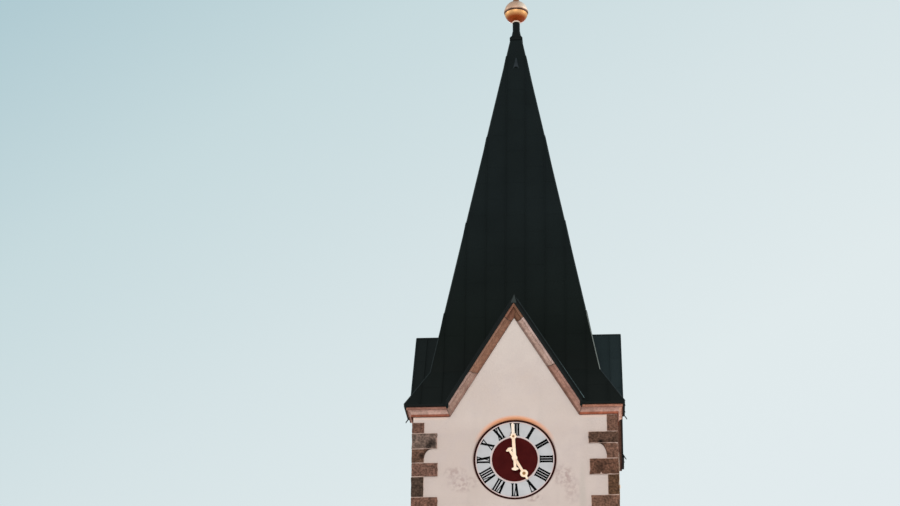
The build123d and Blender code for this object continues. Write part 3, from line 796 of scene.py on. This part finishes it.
def spire_seams():
    """Seams and welts of the front face, where no gable roof hides them."""
    seams = Shape()
    for x in [(i + 0.5) * SHEET for i in range(-5, 5)]:
        low = max(SHEET_FOOT, RIDGE - abs(x) * GABLE_SLOPE)
        high = min(hip_height(abs(x)) - 0.03, SPIRE_TOP - 0.02)
        heights = [low] + ([FLARE_TOP] if low < FLARE_TOP < high else []) + [high]
        seams.rib([(x, -face_depth(z), z) for z in heights], (1, 0, 0), [out_at(z) for z in heights],
                  *SPIRE_SEAM)
    for number in range(-5, 6):
        left, right = (number - 0.5) * SHEET, (number + 0.5) * SHEET
        z = EAVES + 0.62 + (WELT_OFFSET if number % 2 else 0.0)
        while z < SPIRE_TOP - 0.5:
            reach = face_depth(z) - 0.03
            a, b = max(left, -reach), min(right, reach)
            hidden = (RIDGE - z) / GABLE_SLOPE
            pieces = [(a, min(b, -hidden)), (max(a, hidden), b)] if hidden > 0 else [(a, b)]
            out = out_at(z)
            for start, end in pieces:
                if b - a > 0.08 and end - start > 0.06:
                    seams.rib([(x, -face_depth(z), z) for x in (start, end)], Vector((0, out.z, -out.y)), out,
                              *WELT)
            z += WELT_STEP
    return seams


def slope_seams(seams, sign, out):
    """Seams and welts on one slope of the front gable's roof."""
    depth = VERGE - 0.3
    while depth > face_depth(RIDGE) + 0.1:
        foot, top = SHEET_FOOT, RIDGE - 0.02
        while face_depth(foot) > depth:
            foot += 0.01
        path = [(sign * (RIDGE - z) / GABLE_SLOPE, -depth, z) for z in (foot, top)]
        seams.rib(path, (0, 1, 0), out, *GABLE_SEAM)
        z = foot + 0.35
        while z < top - 0.2:
            x = sign * (RIDGE - z) / GABLE_SLOPE
            path = [(x, -depth, z), (x, -min(depth + SHEET, VERGE - 0.02), z)]
            seams.rib(path, Vector((sign, 0, -GABLE_SLOPE)), out, *WELT)
            z += WELT_STEP
        depth -= SHEET


# The verge's width and the height of its crest, and where each length of the crest starts and ends, and how
# strong the painted highlight on it is there
VERGE_WIDTH, CREST_HEIGHT = 0.026, 0.008
CREST_HIGHLIGHT = ((0.0, 0.06, 2.6), (0.06, 0.36, 1.2), (0.36, 1.0, 0.5))
LOW_UPSTANDS = [0.012, 0.012]


def gable_seams(upstands, tip, light):
    """Seams of the front gable's roof, its ridge and its verges, of which the right one stands up by
    upstands. The tip is how far the ridge rises at its front end. The right verge's crest carries a painted
    highlight in the tone light, and the left one is darker."""
    seams = Shape()
    along = (0, 1, 0)
    for sign in (-1, 1):
        out = Vector((sign * GABLE_OUT.x, 0, GABLE_OUT.z))
        slope_seams(seams, sign, out)
        heights = upstands if sign > 0 else LOW_UPSTANDS
        low, high = Vector((sign * ROOF_FOOT, -VERGE + 0.012, EAVES)), Vector((0, -VERGE + 0.012, RIDGE))
        path = [low.lerp(high, part) for part in (0.045, 0.985)]
        seams.rib(path, along, out, VERGE_WIDTH, heights, 0, (0.5, 0.5, 0.5))
        foot, top = [point + out * height for point, height in zip(path, heights)]
        # Painted highlight on the right verge's crest, darker on the left one
        for start, end, value in CREST_HIGHLIGHT:
            tone = scaled(light, value) if sign > 0 else (0.6, 0.6, 0.6)
            crest = [foot.lerp(top, part) for part in (start, end)]
            seams.rib(crest, along, out, VERGE_WIDTH, CREST_HEIGHT, 1, tone)
    ridge = [(0, -VERGE + 0.01, RIDGE - 0.012), (0, -face_depth(RIDGE) + 0.05, RIDGE - 0.012)]
    seams.rib(ridge, (1, 0, 0), (0, 0, 1), 0.06, 0.018, 1, sink=0.01, rounded=True)
    if tip:
        sections = []
        for y, half, rise in ((-VERGE - 0.008, 0.075, tip), (-VERGE + 0.45, 0.045, 0.3 * tip)):
            low = RIDGE - 0.02 - half * GABLE_SLOPE
            sections.append([(-half, y, low), (half, y, low), (0.2 * rise, y, RIDGE + rise)])
        seams.loft(sections, 1, (1.15, 1.2, 1.1))
    return seams


# Painted highlight and shade on each side's hip roll: very bright on the front, lighter on the right and
# back, darker on the left
HIP_LIGHT_AND_SHADE = dict(zip(SIDES, [(10.5, 8.6, 7.8), (1.2, 1.2, 1.2), (1.6, 1.5, 1.4), (0.8, 0.8, 0.8)]))
HIP_TOP = 0.165
FRONT_TIP = 0.095


def hip_roll(tint):
    """The roll over the front right hip, with a painted highlight only between the knee and the ridges and a
    lighter top.
    """
    roll = Shape()
    halves = (EAVES_HALF, FLARE_HALF, face_depth(RIDGE), HIP_TOP)
    heights = [SHEET_FOOT, FLARE_TOP] + [APEX - half / RUN for half in halves[2:]]
    path = [(half, -half, z) for half, z in zip(halves, heights)]
    outs = [Vector((1, -1, rise)) for rise in (1.0, 0.6, 0.37, 0.37)]
    for ends, sides, colour in zip(pairwise(path), pairwise(outs), (PLAIN, tint, (1.2, 1.2, 1.2))):
        roll.rib(ends, (1, 1, 0), list(sides), 0.02, 0.01, 1, colour, sink=0.02, rounded=True)
    return roll


spire_lines = spire_seams()
front_gable_lines = gable_seams([0.065, 0.055], FRONT_TIP, (3.4, 4.0, 4.0))
other_gable_lines = gable_seams(LOW_UPSTANDS, 0, (1.3, 1.5, 1.5))
for side in SIDES:
    gable_lines = front_gable_lines if side == "front" else other_gable_lines
    spire_lines.turned(side).make(f"{side}_spire_seams", [SPIRE, TRIM], "roof_sheet")
    gable_lines.turned(side).make(f"{side}_gable_seams", [GABLE_SHEET[side], TRIM], "roof_sheet")
    hip_roll(HIP_LIGHT_AND_SHADE[side]).turned(side).make(f"{side}_hip_roll", [ROOF, TRIM], "roof_sheet")

# Clock: rings and numerals on the plate

IN_GREY, IN_PALE, IN_RED, IN_BLACK, IN_MAROON = range(5)
NUMERAL_FOOT, NUMERAL_TOP = 0.628, 0.958
OVERLAP = 0.001
WIDTHS = {"I": 0.065, "V": 0.122, "X": 0.122}
LONE_WIDTH, LONE_STROKE, LONE_REACH = 0.158, 0.066, 0.02
STROKE, UPRIGHT, THIN = 0.056, 0.044, 0.023
SERIF, SERIF_INSET, SERIF_REACH = 0.023, 0.008, 0.003

# How bold each hour's numeral is, from I to XII
WEIGHTS = [1.12, 1.26, 1.12, 1.1, 1.12, 0.97, 0.96, 0.96, 1.05, 1.0, 1.07, 1.1]


def hand_axes(angle):
    """The directions across and along a hand that points this far clockwise from the top."""
    return Vector((math.cos(angle), 0, -math.sin(angle))), Vector((math.sin(angle), 0, math.cos(angle)))


def ring(shape, inner, outer, out, thickness, kind):
    sections = []
    for a in angles(144, ends=1):
        sections.append([(radius * math.sin(a), -y, CLOCK + radius * math.cos(a)) for radius, y in (
            (inner, out), (outer, out), (outer, out - thickness), (inner, out - thickness))])
    shape.loft(sections, kind, closed=False)


def numeral(shape, text, hour):
    """Roman figures that stand with their feet to the centre, in strokes of even thickness."""
    height = NUMERAL_TOP - NUMERAL_FOOT
    weight = WEIGHTS[hour - 1]
    bold, upright = STROKE * weight, (LONE_STROKE if text == "I" else UPRIGHT) * weight
    reach = LONE_REACH if text == "I" else SERIF_REACH
    widths = [LONE_WIDTH if text in ("V", "X") else WIDTHS[letter] for letter in text]
    across, up = hand_axes(math.radians(30 * hour))

    def bar(x0, y0, x1, y1, width):
        """A stroke with level ends, or a serif where both its ends are at one height."""
        if y0 == y1:
            corners = [(x0, y0 - width / 2), (x1, y0 - width / 2), (x1, y0 + width / 2), (x0, y0 + width / 2)]
        else:
            half = width / 2 / ((y1 - y0) / math.hypot(x1 - x0, y1 - y0))
            corners = [(x0 - half, y0), (x0 + half, y0), (x1 + half, y1), (x1 - half, y1)]
        outline = [across * x + up * (NUMERAL_FOOT + y) + Vector((0, 0, CLOCK)) for x, y in corners]
        shape.loft([[point + Vector((0, -(DIAL_FACE + out), 0)) for point in outline]
                    for out in (0.001, 0.005)], IN_BLACK)

    left = -(sum(widths) - OVERLAP * (len(text) - 1)) / 2
    for letter, width in zip(text, widths):
        right = left + width
        middle = (left + right) / 2
        if letter == "I":
            bar(middle, 0, middle, height, upright)
        elif letter == "V":
            bar(middle + 0.006, 0, left + bold / 2, height, bold)
            bar(middle, 0, right - THIN / 2, height, THIN)
        else:
            bar(right - bold / 2, 0, left + bold / 2, height, bold)
            bar(left + THIN / 2, 0, right - THIN / 2, height, THIN)
        for y in (SERIF_INSET, height - SERIF_INSET):
            if letter != "V" or y > SERIF_INSET:
                bar(left - reach, y, right + reach, y, SERIF)
        left += width - OVERLAP


clock = Shape()
for inner, outer, out, thickness, kind in (
    (0.612, 0.968, 0.0015, 0.003, IN_GREY), (0.968, 0.994, 0.003, 0.0045, IN_PALE),
    (0.579, 0.612, 0.008, 0.01, IN_PALE), (0.06, 0.579, 0.007, 0.003, IN_RED),
    (0.993, DIAL_RADIUS, 0.008, 0.01, IN_MAROON),
):
    ring(clock, inner, outer, DIAL_FACE + out, thickness, kind)
for hour, text in enumerate("I II III IIII V VI VII VIII IX X XI XII".split(), 1):
    numeral(clock, text, hour)
for side in SIDES:
    clock.turned(side).make(f"{side}_dial_face", [GREY, PALE, RED, BLACK, MAROON], "dial_paint")

# Hands: a cap and a diamond on each minute hand, and amber plates in the holes of both hands

MINUTE_ANGLE, HOUR_ANGLE = -3, 149.75
DIAMOND_AT, DIAMOND_WIDE, DIAMOND_LONG, DIAMOND_HOLE = 0.56, 0.096, 0.07, 0.03
HOUR_RING_AT, HOUR_HOLE = 0.46, 0.042
AMBER = (0.34, 0.22, 0.1)

# Outline of the cap, each point with its radius and its distance to the front
CAP_PROFILE = [(0.027, -0.001), (0.046, -0.001), (0.046, 0.01), (0.036, 0.016), (0.001, 0.019),
               (0.001, 0.01), (0.027, 0.01)]
across_minute, along_minute = hand_axes(math.radians(MINUTE_ANGLE))
along_hour = hand_axes(math.radians(HOUR_ANGLE))[1]
PIVOT = Vector((0, -(DIAL_FACE + 0.158), CLOCK))
DIAMOND_MIDDLE = PIVOT + along_minute * DIAMOND_AT
HOUR_MIDDLE = Vector((0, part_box("front_hour_hand")[0].y, CLOCK)) + along_hour * HOUR_RING_AT


def disc(shape, centre, radius, depth):
    """A plate that fills the hole of a hand, a little behind the hand's face."""
    shape.loft([[centre + Vector((radius * math.cos(a), back, radius * math.sin(a))) for a in angles(24)]
                for back in (depth + 0.002, depth)], 0, AMBER)


minute_trim, hour_trim = Shape(), Shape()
disc(minute_trim, DIAMOND_MIDDLE, DIAMOND_HOLE + 0.001, 0.0)
disc(hour_trim, HOUR_MIDDLE, HOUR_HOLE + 0.001, 0.002)
diamond, cap = [], []
for a in angles(48, ends=1):
    spoke = across_minute * math.cos(a) + along_minute * math.sin(a)
    reach = 1 / (abs(math.cos(a)) / DIAMOND_WIDE + abs(math.sin(a)) / DIAMOND_LONG)
    frame_profile = [(DIAMOND_HOLE, 0.004), (reach, 0.004), (reach, -0.001), (DIAMOND_HOLE, -0.001)]
    for sections, centre, profile in ((diamond, DIAMOND_MIDDLE, frame_profile), (cap, PIVOT, CAP_PROFILE)):
        sections.append([centre + spoke * radius + Vector((0, -out, 0)) for radius, out in profile])
minute_trim.loft(diamond, closed=False)
minute_trim.loft(cap, closed=False)
for side in SIDES:
    minute_trim.turned(side).make(f"{side}_minute_trim", [GILT], "hand_gilt", body=f"{side}_minute")
    hour_trim.turned(side).make(f"{side}_hour_trim", [GILT], "hand_gilt", body=f"{side}_hour")

# The materials of the CAD nodes

painted = {"plinth": FLAGS, "ground_floor": FLAGS, "belfry_floor": FLOOR_BOARDS, "spire_cap": CAP,
           "spire_vents": HOOD, "spire_ball": BALL, "spire_cross": COPPER, "slit_window_glass": GLASS,
           "entrance_door": OAK}
painted.update({corner: STONE for corner in QUOINS})
for side in SIDES:
    for kind, material in (("wall", PLASTER[side]), ("gable_roof", GABLE_SHEET[side]), ("spire_face", SPIRE),
                           ("cornice", CARVED), ("dial", RED), ("minute_hand", GILT), ("hour_hand", GILT),
                           ("louvres", OAK)):
        painted[f"{side}_{kind}"] = material
for node, material in painted.items():
    NODES[node].data.materials.clear()
    NODES[node].data.materials.append(material)

# Door boards, straps with nails, and a ring on its plate

IN_OAK, IN_IRON = range(2)
DOOR_HALF, BOARD_COUNT, BOARD_GAP = 0.65, 7, 0.004
ARCH_RADIUS = 0.645
NAIL_RADIUS, RING_RADIUS, RING_THICK = 0.014, 0.05, 0.007
door = Shape()
chance = random.Random(70)
wide = 2 * DOOR_HALF / BOARD_COUNT
for i in range(BOARD_COUNT):
    x0, x1 = -DOOR_HALF + i * wide + BOARD_GAP, -DOOR_HALF + (i + 1) * wide - BOARD_GAP
    value = chance.uniform(0.85, 1.12)
    feet = [(x0, DOOR_LOW + 0.008), (x1, DOOR_LOW + 0.008)]
    head = [(x, DOOR_TOP - DOOR_HALF + math.sqrt(max(0.0, ARCH_RADIUS ** 2 - x * x)))
            for x in (x1, (x0 + x1) / 2, x0)]
    door.loft([[(x, -DOOR_FACE + y, z) for x, z in feet + head] for y in (0.002, -0.012)], IN_OAK,
              (value * 1.02, value, value * 0.98))
for z in (DOOR_LOW + 0.45, DOOR_LOW + 1.75):
    door.box((-0.63, -DOOR_FACE - 0.02, z - 0.03), (0.42, -DOOR_FACE - 0.011, z + 0.03), IN_IRON)
    for x in (-0.55, -0.35, -0.15, 0.05, 0.25):
        door.loft([[(x + NAIL_RADIUS * math.cos(a), -DOOR_FACE - out, z + NAIL_RADIUS * math.sin(a))
                    for a in angles(10)] for out in (0.019, 0.026)], IN_IRON)
door.box((0.44, -DOOR_FACE - 0.018, DOOR_LOW + 0.98), (0.54, -DOOR_FACE - 0.011, DOOR_LOW + 1.16), IN_IRON)
handle = []
for a in angles(24, ends=1):
    spoke = hand_axes(a)[1]
    centre = Vector((0.49 + RING_RADIUS * math.sin(a), -DOOR_FACE - 0.026,
                     DOOR_LOW + 1.06 + RING_RADIUS * math.cos(a)))
    handle.append([centre + spoke * (RING_THICK * math.cos(b)) + Vector((0, -RING_THICK * math.sin(b), 0))
                   for b in angles(8)])
door.loft(handle, IN_IRON, closed=False)
door.make("door_boards", [OAK, IRON], "dark_oak")

# Bars in the slit windows, two upright and three across in each

SILLS, UPRIGHTS, CROSSBARS = (5.2, 8.8), (-0.08, 0.08), (0.22, 0.55, 0.88)
bars = Shape()
for side in SIDES:
    window = Shape()
    for sill in SILLS:
        for x in UPRIGHTS:
            window.box((x - 0.009, -WALL + 0.1, sill - 0.02), (x + 0.009, -WALL + 0.118, sill + 1.12))
        for up in CROSSBARS:
            window.box((-0.17, -WALL + 0.092, sill + up - 0.015), (0.17, -WALL + 0.102, sill + up + 0.015))
    turned = window.turned(side)
    bars.add(turned.points, turned.faces)
bars.make("slit_window_bars", [IRON], "dark_oak")

# Floor and lights

FLOOR_RADIUS, FLOOR_DEPTH = 70, -0.002
mesh = bpy.data.meshes.new("studio_floor")
mesh.from_pydata([(FLOOR_RADIUS * math.cos(a), FLOOR_RADIUS * math.sin(a), FLOOR_DEPTH) for a in angles(64)],
                 [], [list(range(64))])
mesh.materials.append(FLOOR)
add_object("studio_floor", mesh)

for name, direction, energy in (("front", (0.05, 1, -0.14), 1.55), ("right", (-1, 0.1, -0.22), 1.25),
                                ("back", (0, -1, -0.22), 1.3), ("left", (1, 0.1, -0.22), 1.1)):
    sun = bpy.data.lights.new(f"{name}_light", "SUN")
    sun.energy = energy
    sun.angle = math.radians(25)
    lamp = add_object(f"{name}_light", sun)
    lamp.rotation_euler = Vector(direction).to_track_quat("-Z", "Y").to_euler()

# Sky, an even pale light, which the camera and reflections see as a soft change of blue

SKY_ALONG = (2.31, 1.629, -3.315)
SKY_ENDS = (174, 201, 209), (226, 235, 238)
SKY_TONES = {0.25: (199, 218, 222), 0.5: (214, 227, 230), 0.75: (224, 234, 236)}
scene.world = bpy.data.worlds.new("sky")
scene.world.use_nodes = True
tree = scene.world.node_tree
background = tree.nodes["Background"]
background.inputs["Color"].default_value = (0.93, 0.97, 1.0, 1.0)
background.inputs["Strength"].default_value = 0.55
direction = add_node(tree, "TexCoord").outputs["Generated"]
along = add_node(tree, "VectorMath", {0: direction, 1: SKY_ALONG}, operation="DOT_PRODUCT").outputs["Value"]
ramp = add_node(tree, "ValToRGB", {0: share(tree, along, -1.0, 1.0)})
stops = ramp.color_ramp.elements
for stop, tone in zip(stops, SKY_ENDS):
    stop.color = srgb(*tone)
for position, tone in SKY_TONES.items():
    stops.new(position).color = srgb(*tone)
seen = add_node(tree, "Background", {"Color": ramp.outputs[0]})
rays = add_node(tree, "LightPath").outputs
mirrored = math_node(tree, "MAXIMUM", rays["Is Glossy Ray"], rays["Is Transmission Ray"])
both = add_node(tree, "MixShader", {0: math_node(tree, "MAXIMUM", rays["Is Camera Ray"], mirrored)})
tree.links.new(background.outputs[0], both.inputs[1])
tree.links.new(seen.outputs[0], both.inputs[2])
tree.links.new(both.outputs[0], tree.nodes["World Output"].inputs["Surface"])

# Camera, at the place and along the axes that were fitted to the photograph

CAMERA_PLACE = (2.1087, -50.6294, 1.583)
CAMERA_AXES = Matrix(((0.99714845, 0.07506646, 0.007746), (0.02288475, -0.39859797, 0.9168402),
                      (0.07191149, -0.91404851, -0.39917922)))
camera = bpy.data.cameras.new("camera")
camera.lens = 80.0
camera.sensor_width = 36.0
camera.clip_end = 500.0
scene.camera = add_object("camera", camera)
scene.camera.matrix_world = Matrix.Translation(CAMERA_PLACE) @ CAMERA_AXES.transposed().to_4x4()
scene.view_settings.view_transform = "Standard"
